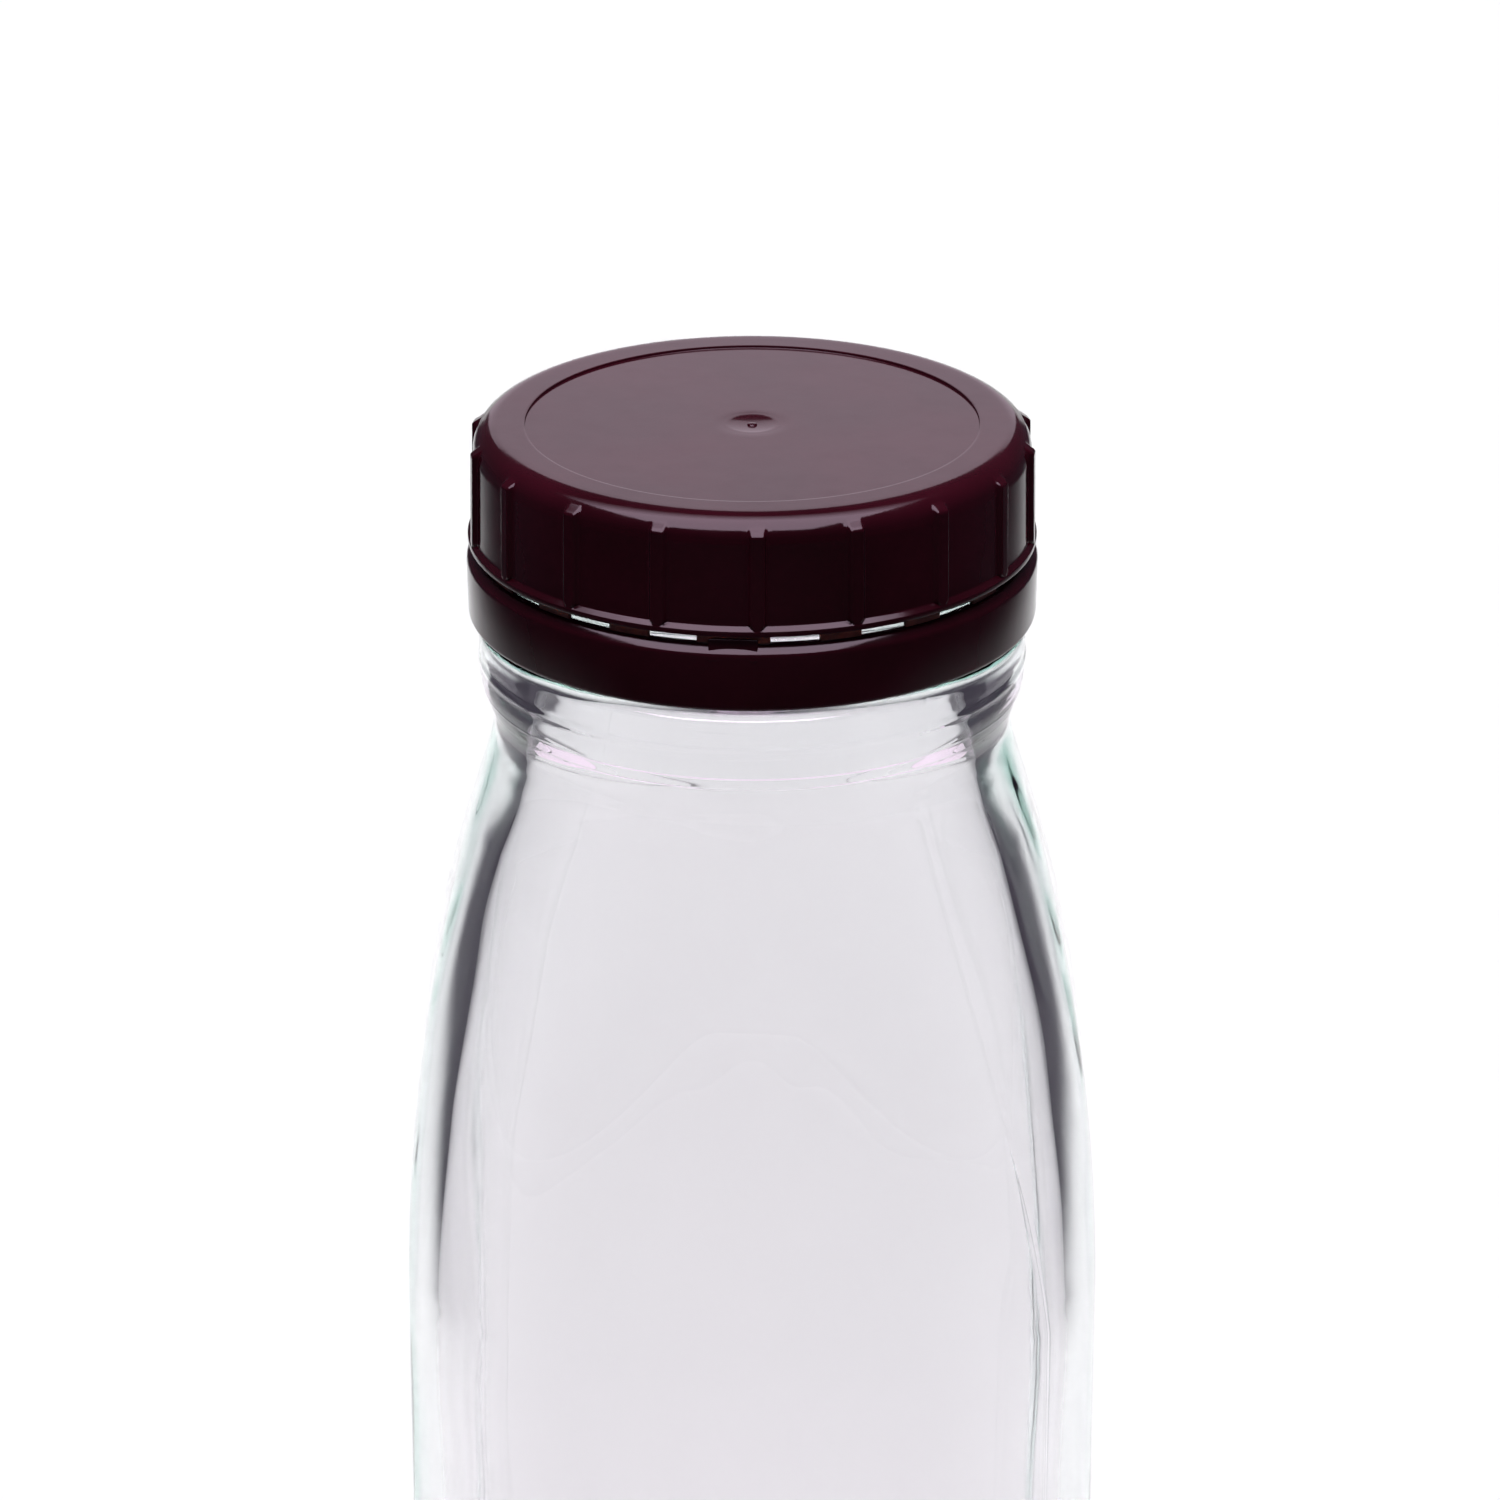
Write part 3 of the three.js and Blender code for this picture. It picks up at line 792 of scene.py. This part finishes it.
    def column_angles(self) -> list[float]:
        """Polar angles of the columns, even all round but for a close group on each seam."""
        pitch = TURN / self.columns
        even = [pitch * i for i in range(self.columns)]
        seams = [(self.seam_angle(0.0) + side) % TURN for side in (0, math.pi)]
        far = [
            angle for angle in even
            if all(abs(angle_between(angle, seam)) > 0.7 * pitch for seam in seams)
        ]
        near = [
            (seam + math.radians(off)) % TURN
            for seam in seams for off in (-1.0, -0.6, -0.4, -0.2, 0.0, 0.2, 0.4, 0.6, 1.0)
        ]
        return sorted(far + near)

    def build(self) -> bpy.types.Object:
        """Makes the bottle."""
        rings = [*self.base_rings(), *self.side_rings(), *self.finish_rings(), *self.inside_rings()]
        piece = finish_piece("bottle_glass", skin(self.column_angles(), rings), sharp=60)
        piece.data.materials.append(self.finish.material())
        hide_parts("glass_bottle")
        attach(piece, "bottle")
        return piece


# ---- Screw cap ---------------------------------------------------------------------------------
@dataclass
class ScrewCap:
    """The cap's shell, with its ribs and thread.

    Lengths are in millimetres. The rib's top and the depths are measured down from the top plane,
    and the flange's levels up from the lower edge.
    """

    levels: Levels
    plastic: CapPlastic = field(default_factory=CapPlastic)
    bore: float = 24.3
    skirt: float = 25.42
    draft: float = 0.14
    edge: float = 2.2
    plate: float = 1.5
    recess: float = 20.7
    recess_depth: float = 0.2
    dimple: float = 2.62
    dimple_depth: float = 0.17
    gate: float = 0.42  # radius of the moulding gate in the dimple
    gate_height: float = 0.16
    flange_proud: float = 0.46
    flange_face: float = 0.54
    flange_height: float = 0.92
    thread_depth: float = 1.5
    thread_edge: float = 1.45  # lower edge to the middle of the thread's lower end
    thread_mesh: float = 1.35  # glass thread down to this one
    ribs: int = 18
    rib_proud: float = 0.45
    rib_root_half: float = 0.92
    rib_face_half: float = 0.5
    rib_top: float = 0.85
    rib_slope: float = 0.62
    rib_azimuth: float = 1.0  # degrees, first rib from the front

    def column_angles(self) -> list[float]:
        """Polar angles of the columns, crowded where the ribs are."""
        half = [0.0, 0.35, 0.62, 0.85, 1.05, 1.25, 1.45, 1.65, 1.85, 2.2, 3.0, 4.4, 6.2, 8.2]
        offsets = sorted({*half, *(-x for x in half), 10.0})
        pitch = 360 / self.ribs
        return [
            FRONT + math.radians(self.rib_azimuth + pitch * rib + offset)
            for rib in range(self.ribs) for offset in offsets
        ]

    def skirt_radius(self, z: float) -> float:
        """Outside radius of the skirt, between the ribs, over its straight part."""
        top = self.levels.cap_top
        return self.skirt + self.draft * (top - z) / (top - self.levels.cap_bottom)

    def rib_relief(self, angle: float, radius: float, z: float) -> float:
        """Outline of the wall with its ribs.

        Args:
            angle: polar angle, in radians.
            radius: radius of the wall without ribs.
            z: height.

        Returns:
            Radius of the rib's face where a rib stands proud of the wall, else the wall's own.
        """
        pitch = TURN / self.ribs
        first = FRONT + math.radians(self.rib_azimuth)
        nearest = first + pitch * round(angle_between(angle, first) / pitch)
        off = abs(angle_between(angle, nearest)) * radius
        top = self.levels.cap_top - self.rib_top
        flange_top = self.levels.cap_bottom + self.flange_height
        narrow = min(1.0, max(0.0, (z - flange_top + 0.6) / 0.65))
        root, face = self.rib_root_half * narrow, self.rib_face_half * narrow
        if z > top or root <= 0 or off >= root:
            return radius
        crown = self.skirt_radius(z) + self.rib_proud
        slope = (top - z) / self.rib_slope
        crown -= 0.9 * max(0.0, 1 - slope)
        return max(radius, mix(radius, crown, smooth((root - off) / max(root - face, 1e-3))))

    def profile(self) -> list[tuple[float, float, str]]:
        """Outline of the shell, from under the plate round to the middle of the top.

        Returns:
            The points, each with its radius, its height and what stands on the wall there.
        """
        top, bottom = self.levels.cap_top, self.levels.cap_bottom
        plate_z = top - self.plate
        flange = self.skirt_radius(bottom) + self.flange_proud
        flange_top = bottom + self.flange_height
        recess_z = top - self.recess_depth
        points = [(r, plate_z, "plain") for r in (0.5, 6, 12, 18, 22, 23.6)]
        points += [
            (r, z, "plain")
            for r, z in arc((self.bore - 0.5, plate_z - 0.5), (0.5, 0.5), 90, 0, 3)
        ]
        points += [(self.bore, z, "thread") for z in spread(plate_z - 0.7, bottom + 0.4, 30)]
        points += [(self.bore + 0.08, bottom + 0.1, "plain"), (self.bore + 0.22, bottom, "plain")]
        points += [(flange - 0.14, bottom, "plain"), (flange - 0.03, bottom + 0.05, "plain")]
        face_top, wall = bottom + self.flange_face, self.skirt_radius(flange_top)
        points += [(flange, bottom + 0.16, "plain"), (flange, face_top - 0.04, "plain")]
        points += [
            (mix(flange, wall, share), mix(face_top, flange_top, share), "rib")
            for share in (0.02, 0.06, 0.2, 0.4, 0.6, 0.8, 0.92)
        ]
        points += [(wall + 0.012, flange_top, "rib"), (wall, flange_top + 0.1, "rib")]
        points += [
            (self.skirt_radius(z), z, "rib") for z in spread(flange_top + 0.3, top - self.edge, 20)
        ]
        roll = arc((self.skirt - self.edge, top - self.edge), (self.edge, self.edge), 3, 90, 18)
        points += [(r, z, "rib") for r, z in roll]
        points += [(r, top, "plain") for r in (22.6, 21.6, 20.95)]
        points += [
            (self.recess + dr, top - drop, "plain")
            for dr, drop in (
                (0.06, 0.0), (0.015, 0.015), (0.0, 0.05), (-0.01, 0.16), (-0.05, self.recess_depth),
            )
        ]
        points += [(r, recess_z, "plain") for r in (20.3, 18, 14, 10, 6, 3.8, self.dimple + 0.25)]
        points += [(self.dimple + 0.02, recess_z - 0.02, "plain")]
        points += [
            (r, recess_z - self.dimple_depth * (1 - (r / self.dimple) ** 2), "plain")
            for r in (2.5, 2.15, 1.8, 1.4, 1.0, 0.7, self.gate + 0.05)
        ]
        gate_z = recess_z - self.dimple_depth + self.gate_height
        points += [(self.gate, gate_z - 0.05, "plain"), (self.gate - 0.06, gate_z, "plain")]
        points += [(0.05, gate_z + 0.02, "plain")]
        return points

    def build(self) -> bpy.types.Object:
        """Makes the cap's shell."""
        from_z = self.levels.cap_bottom + self.thread_edge
        over_glass = from_z + self.thread_mesh - (self.levels.rim - LOCK_DROP + THREAD_FOOT)
        thread = Helix(
            from_z, from_angle=360 * over_glass / THREAD_LEAD, sweep=110.0,
            depth=self.thread_depth, root_half=0.72, crest_half=0.28,
        )

        def ring_at(radius: float, z: float, kind: str) -> Ring:
            def ring(angle: float) -> Vector:
                if kind == "thread":
                    return at(radius - thread.relief(angle, z), angle, z)
                if kind == "rib":
                    return at(self.rib_relief(angle, radius, z), angle, z)
                return at(radius, angle, z)
            return ring

        rings = [ring_at(*point) for point in self.profile()]
        piece = finish_piece("cap_moulding", skin(self.column_angles(), rings), sharp=42)
        piece.data.materials.append(self.plastic.material())
        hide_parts("cap_shell")
        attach(piece, "cap")
        return piece


@dataclass
class CapLiner:
    """The foam disc in the cap, with the ring that the rim has pressed into it."""

    levels: Levels
    foam: LinerFoam = field(default_factory=LinerFoam)
    rim_radius: float = 20.8
    rim_half: float = 1.4
    press: float = 0.12

    def build(self) -> bpy.types.Object:
        """Makes the liner."""
        low, high = self.levels.liner_bottom, self.levels.liner_top
        radius = self.levels.liner_radius
        pressed = [
            (r, low + self.press * smooth(1.4 - abs(r - self.rim_radius) / self.rim_half))
            for r in spread(self.rim_radius - 2.2, self.rim_radius + 2.2, 16)
        ]
        profile = [
            (0.05, low), (9.0, low), (15.0, low), *pressed,
            *arc((radius - 0.2, low + 0.2), (0.2, 0.2), -90, 0, 3),
            *arc((radius - 0.2, high - 0.2), (0.2, 0.2), 0, 90, 3),
            (15.0, high), (0.05, high),
        ]
        rings = [lambda angle, r=r, z=z: at(r, angle, z) for r, z in profile]
        piece = finish_piece("liner_disc", skin([TURN * i / 120 for i in range(120)], rings))
        piece.data.materials.append(self.foam.material())
        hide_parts("cap_liner")
        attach(piece, "liner")
        return piece


# ---- Tamper band -------------------------------------------------------------------------------
@dataclass
class TamperBand:
    """The band with its catch, and on it the bridges to the cap and three raised pads."""

    levels: Levels
    plastic: CapPlastic = field(default_factory=CapPlastic)
    thin: BridgePlastic = field(default_factory=BridgePlastic)
    height: float = 6.25
    bore: float = 24.7
    outer: float = 26.15
    draft: float = 0.1
    shoulder_in: float = 1.15
    shoulder_drop: float = 1.07
    edge: float = 0.45
    catch_radius: float = 23.3
    catch_drop: float = 3.8
    catch_height: float = 1.9
    bridge_azimuth: float = -3.8
    bridge_width: float = 9.0  # degrees
    pad_bridge_width: float = 15.0  # degrees, the bridge behind a pad
    slit: float = 10.0  # degrees
    bridges_between: int = 5
    bridge_wall: float = 0.42
    pads: int = 3
    pad_width: float = 4.4
    pad_gap: float = 0.4
    pad_slope: float = 0.7  # how far the top of a pad's face is set in

    @property
    def top(self) -> float:
        """Height of the band's upper edge."""
        return self.levels.band_bottom + self.height

    def ring(self) -> bpy.types.Object:
        """The band's own ring."""
        low, top = self.levels.band_bottom, self.top
        foot = self.outer - self.draft
        catch_top = top - self.catch_drop
        profile = [
            *arc((foot - self.edge, low + self.edge), (self.edge, self.edge), -90, 0, 5),
            *arc((self.outer - 0.5, top - self.shoulder_drop), (0.5, 0.62), 0, 40, 6),
            *arc((self.outer - self.shoulder_in, top - 0.46), (0.75, 0.46), 40, 84, 6),
            (self.bore + 0.35, top + 0.03), (self.bore + 0.1, top), (self.bore, top - 0.12),
            (self.bore, catch_top + 0.15), (self.bore - 0.3, catch_top),
            (self.catch_radius + 0.25, catch_top), (self.catch_radius, catch_top - 0.2),
            (self.catch_radius + 0.1, catch_top - 0.8), (self.bore, catch_top - self.catch_height),
            (self.bore, low + 0.2), (self.bore + 0.2, low),
        ]
        piece = finish_piece("band_ring", spun(profile, 216), sharp=50)
        piece.data.materials.append(self.plastic.material())
        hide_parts("tamper_band")
        return piece

    def bridge(self, azimuth: float, width: float) -> bmesh.types.BMesh:
        """One bridge, curved with the band. Its azimuth from the front and width are in degrees."""
        low, high = self.top - 0.3, self.levels.cap_bottom - 0.06
        radius = self.bore + 0.1 + self.bridge_wall / 2
        length = math.radians(width) * radius
        size = Vector((length, self.bridge_wall, high - low))
        bm = block(size, Vector((0, -radius, (low + high) / 2)), 0.12)
        for share in spread(-0.4, 0.4, 5):
            bmesh.ops.bisect_plane(
                bm, geom=[*bm.verts, *bm.edges, *bm.faces],
                plane_co=(share * length, 0, 0), plane_no=(1, 0, 0),
            )
        for vert in bm.verts:
            angle = FRONT + math.radians(azimuth) + vert.co.x / radius
            vert.co = at(-vert.co.y, angle, vert.co.z)
        return bm

    def bridge_blocks(self) -> bpy.types.Object:
        """The thin bridges that stand up to the cap's flange."""
        first = (self.pad_bridge_width + self.bridge_width) / 2 + self.slit
        row = [(0.0, self.pad_bridge_width)]
        row += [
            (first + number * (self.bridge_width + self.slit), self.bridge_width)
            for number in range(self.bridges_between)
        ]
        blocks = [
            self.bridge(self.bridge_azimuth + 360 * pad / self.pads + centre, width)
            for pad in range(self.pads) for centre, width in row
        ]
        piece = finish_piece("band_bridges", gather(blocks))
        piece.data.materials.append(self.thin.material())
        return piece

    def pad_blocks(self) -> bpy.types.Object:
        """The raised pads with their sloping faces."""
        low, high = self.top - self.shoulder_drop - 0.3, self.levels.cap_bottom - self.pad_gap
        inner, outer = self.bore + 0.5, self.outer - 0.02
        blocks = []
        for number in range(self.pads):
            size = Vector((self.pad_width, outer - inner, high - low))
            bm = block(size, Vector((0, -(inner + outer) / 2, (low + high) / 2)), 0.1)
            for vert in bm.verts:
                share = (vert.co.z - low) / (high - low)
                if vert.co.y < -(inner + outer) / 2:
                    vert.co.y += self.pad_slope * smooth(share * 1.05)
            turn = math.radians(self.bridge_azimuth + 360 * number / self.pads)
            rotation = Matrix.Rotation(turn, 3, "Z")
            bmesh.ops.rotate(bm, cent=(0, 0, 0), matrix=rotation, verts=bm.verts)
            blocks.append(bm)
        piece = finish_piece("band_pads", gather(blocks))
        piece.data.materials.append(self.plastic.material())
        return piece

    def build(self) -> list[bpy.types.Object]:
        """Makes the band and what stands on it."""
        pieces = [self.ring(), self.bridge_blocks(), self.pad_blocks()]
        for piece in pieces:
            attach(piece, "band")
        return pieces


# ---- Studio ------------------------------------------------------------------------------------
class Reach(Enum):
    """What a light is there for."""

    DIFFUSE = "lights surfaces, without a mirror image"
    MIRROR = "only seen in glossy and clear surfaces"


@dataclass(frozen=True)
class Softbox:
    """A rectangular soft light, placed in metres and aimed at a point."""

    name: str
    place: tuple[float, float, float]
    aim: tuple[float, float, float]
    width: float
    height: float
    radiance: float
    reach: Reach
    spread: float = 180.0  # degrees
    tint: Colour = (1.0, 1.0, 1.0)

    def build(self) -> None:
        """Hangs the light, hidden from the camera itself."""
        light = bpy.data.lights.new(self.name, "AREA")
        light.shape = "RECTANGLE"
        light.size, light.size_y = self.width, self.height
        light.energy = math.pi * self.width * self.height * self.radiance
        light.spread = math.radians(self.spread)
        light.color = self.tint
        lamp = bpy.data.objects.new(self.name, light)
        lamp.location = self.place
        towards = Vector(self.aim) - Vector(self.place)
        lamp.rotation_euler = towards.to_track_quat("-Z", "Y").to_euler()
        lamp.visible_camera = False
        lamp.visible_glossy = lamp.visible_transmission = self.reach is Reach.MIRROR
        lamp.visible_diffuse = self.reach is Reach.DIFFUSE
        bpy.context.scene.collection.objects.link(lamp)


@dataclass
class Studio:
    """Floor, lights, surround and camera."""

    levels: Levels
    camera_side: float = -0.2
    camera_back: float = 600.0
    camera_rise: float = 217.0
    camera_pitch: float = 22.57
    lens: float = 168.2
    floor_side: float = 16.0

    def floor(self) -> None:
        """A plain pale floor."""
        bm = bmesh.new()
        bmesh.ops.create_grid(bm, x_segments=1, y_segments=1, size=self.floor_side / 2 / MM)
        piece = finish_piece("studio_floor", bm)
        shader = Shader("pale_floor")
        shader.set(Base_Color=(0.9, 0.9, 0.9, 1), Roughness=0.9, Specular_IOR_Level=0.0)
        piece.data.materials.append(shader.material)

    def overhead(self) -> list[Softbox]:
        """A large lilac light over the part, in strips that grow weaker towards the back."""
        strips = ((-1.36, 0.0, 9.8), (0.0, 0.14, 7.0), (0.14, 0.28, 4.0), (0.28, 0.42, 1.8))
        return [
            Softbox(
                f"overhead_{number}", (-0.1, (near + far) / 2, 1.2), (-0.1, (near + far) / 2, 0),
                1.5, far - near, radiance, Reach.MIRROR, tint=(1.0, 0.78, 0.98),
            )
            for number, (near, far, radiance) in enumerate(strips)
        ]

    def lights(self) -> None:
        """Large soft lights behind and above, weak ones in front."""
        mirror, diffuse = Reach.MIRROR, Reach.DIFFUSE
        for softbox in (
            Softbox("back_pool", (0, 0.76, 0.22), (0, 0.76, 0), 0.61, 1.68, 1.07, diffuse, 70),
            Softbox("front_pool", (0, -0.65, 0.5), (0, -0.65, 0), 0.9, 0.5, 0.05, diffuse, 60),
            Softbox("horizon", (0, 1.66, 0.16), (0, 0, 0.16), 1.1, 0.33, 1.0, mirror),
            Softbox(
                "back_wall", (0, 1.6, 0.62), (0, 0, 0.18), 0.9, 0.6, 1.25, mirror,
                tint=(1.0, 0.84, 0.97),
            ),
            *self.overhead(),
        ):
            softbox.build()

    def surround(self) -> None:
        """A dim, faintly violet room."""
        world = bpy.data.worlds.new("dim_room")
        world.use_nodes = True
        world.node_tree.nodes["Background"].inputs["Color"].default_value = (0.065, 0.055, 0.075, 1)
        world.node_tree.nodes["Background"].inputs["Strength"].default_value = 1.0
        bpy.context.scene.world = world

    def camera(self) -> None:
        """The camera, in front of the closure and a little above it."""
        lens = bpy.data.cameras.new("camera")
        lens.lens = self.lens
        lens.sensor_width = 36.0
        lens.clip_start, lens.clip_end = 0.02, 50.0
        camera = bpy.data.objects.new("camera", lens)
        height = self.levels.cap_top + self.camera_rise
        camera.location = Vector((self.camera_side, -self.camera_back, height)) * MM
        camera.rotation_euler = (math.radians(90 - self.camera_pitch), 0, 0)
        bpy.context.scene.collection.objects.link(camera)
        bpy.context.scene.camera = camera

    def build(self) -> None:
        """Sets up the studio."""
        self.camera()
        self.floor()
        self.lights()
        self.surround()
        scene = bpy.context.scene
        scene.view_settings.view_transform = "Standard"
        scene.cycles.max_bounces = 24
        scene.cycles.glossy_bounces = scene.cycles.transmission_bounces = 24


def main() -> None:
    """Builds the studio and the bottle's pieces, then logs each piece's face count."""
    logging.basicConfig(level=logging.INFO, format="%(name)s: %(message)s")
    levels = Levels.from_frame()
    Studio(levels).build()
    pieces = [
        GlassBottle(levels).build(),
        ScrewCap(levels).build(),
        CapLiner(levels).build(),
        *TamperBand(levels).build(),
    ]
    for piece in pieces:
        log.info("%s: %d faces", piece.name, len(piece.data.polygons))


if __name__ == "__main__":
    main()
